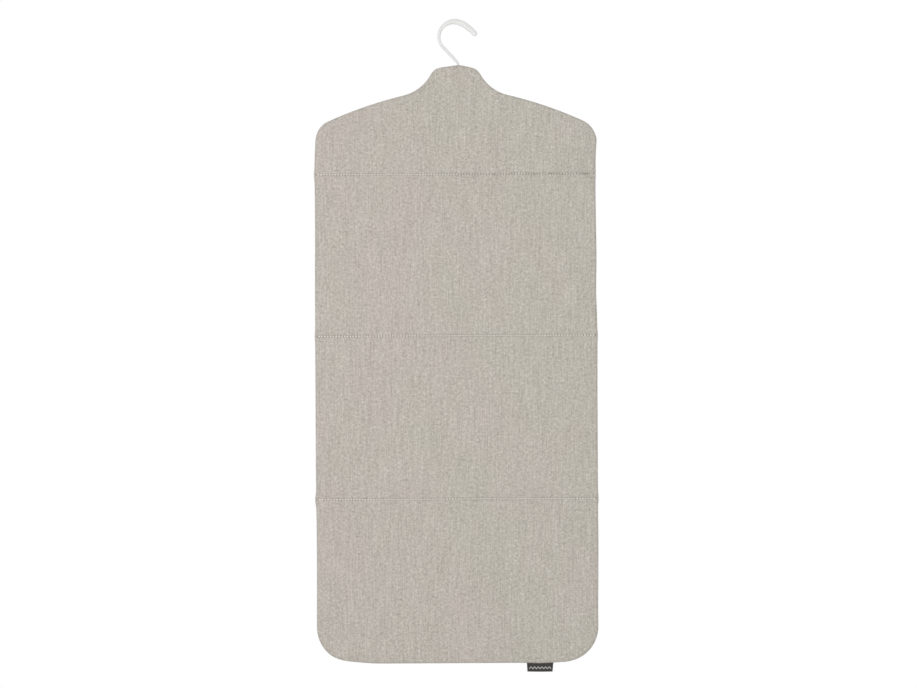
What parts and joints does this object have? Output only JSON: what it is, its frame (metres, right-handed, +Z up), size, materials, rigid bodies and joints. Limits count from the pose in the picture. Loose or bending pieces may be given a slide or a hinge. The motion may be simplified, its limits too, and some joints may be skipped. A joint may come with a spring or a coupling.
{
  "type": "hanging shirt folding board",
  "caption": "Hanging padded shirt board with sloping shoulders and a neck, a swivelling hook, and sewn folds between stiffened panels for steaming or pressing a shirt and packing flat.",
  "frame": {"origin": "centre of the hook's hanging seat, on the axis of the rail that it hangs from", "axes": "+Z up along the board, +Y out of the board's back, +X to the right seen from the front; the front faces -Y"},
  "size_m": [0.4, 0.008, 0.9253],
  "materials": {
    "cover_fabric": "melange woven, matt",
    "padding_felt": "needled felt, matt",
    "heat_foil": "embossed satin foil",
    "stiffener_board": "hardboard, matt",
    "sewing_thread": "spun polyester thread, matt",
    "hook_enamel": "white enamel, satin",
    "anchor_nylon": "moulded nylon, matt",
    "rivet_aluminium": "satin",
    "washer_steel": "zinc plated",
    "label_ribbon": "woven ribbon, matt"
  },
  "bodies": {
    "hook": {"hook": "hook_enamel", "hook_washer": "washer_steel"},
    "shoulder": {"hook_anchor": "anchor_nylon", "anchor_rivets": "rivet_aluminium", "front_cover_shoulder": "cover_fabric", "padding_shoulder": "padding_felt", "heat_foil_shoulder": "heat_foil", "stiffener_shoulder": "stiffener_board", "back_cover_shoulder": "cover_fabric"},
    "upper": {"front_cover_upper": "cover_fabric", "padding_upper": "padding_felt", "heat_foil_upper": "heat_foil", "stiffener_upper": "stiffener_board", "back_cover_upper": "cover_fabric", "front_fold_1": "cover_fabric", "fold_padding_1": "padding_felt", "back_fold_1": "cover_fabric", "fold_stitching_1": "sewing_thread"},
    "middle": {"front_cover_middle": "cover_fabric", "padding_middle": "padding_felt", "heat_foil_middle": "heat_foil", "stiffener_middle": "stiffener_board", "back_cover_middle": "cover_fabric", "front_fold_2": "cover_fabric", "fold_padding_2": "padding_felt", "back_fold_2": "cover_fabric", "fold_stitching_2": "sewing_thread"},
    "lower": {"front_cover_lower": "cover_fabric", "padding_lower": "padding_felt", "heat_foil_lower": "heat_foil", "stiffener_lower": "stiffener_board", "back_cover_lower": "cover_fabric", "front_fold_3": "cover_fabric", "fold_padding_3": "padding_felt", "back_fold_3": "cover_fabric", "fold_stitching_3": "sewing_thread", "label_tab": "label_ribbon"}
  },
  "joints": [
    {"name": "hook_swivel", "type": "hinge", "parent": "hook", "child": "shoulder", "pos_m": [0.0068, 0, -0.055], "axis": [0, 0, 1], "range_deg": [-180, 180]},
    {"name": "fold_1", "type": "hinge", "parent": "shoulder", "child": "upper", "pos_m": [0, 0.00425, -0.1945], "axis": [1, 0, 0], "range_deg": [0, 179.5], "deforming": ["front_fold_1", "fold_padding_1", "back_fold_1", "fold_stitching_1"]},
    {"name": "fold_2", "type": "hinge", "parent": "upper", "child": "middle", "pos_m": [0, -0.00425, -0.4235], "axis": [-1, 0, 0], "range_deg": [0, 179.5], "deforming": ["front_fold_2", "fold_padding_2", "back_fold_2", "fold_stitching_2"]},
    {"name": "fold_3", "type": "hinge", "parent": "middle", "child": "lower", "pos_m": [0, 0.00425, -0.655], "axis": [1, 0, 0], "range_deg": [0, 179.5], "deforming": ["front_fold_3", "fold_padding_3", "back_fold_3", "fold_stitching_3"]}
  ]
}
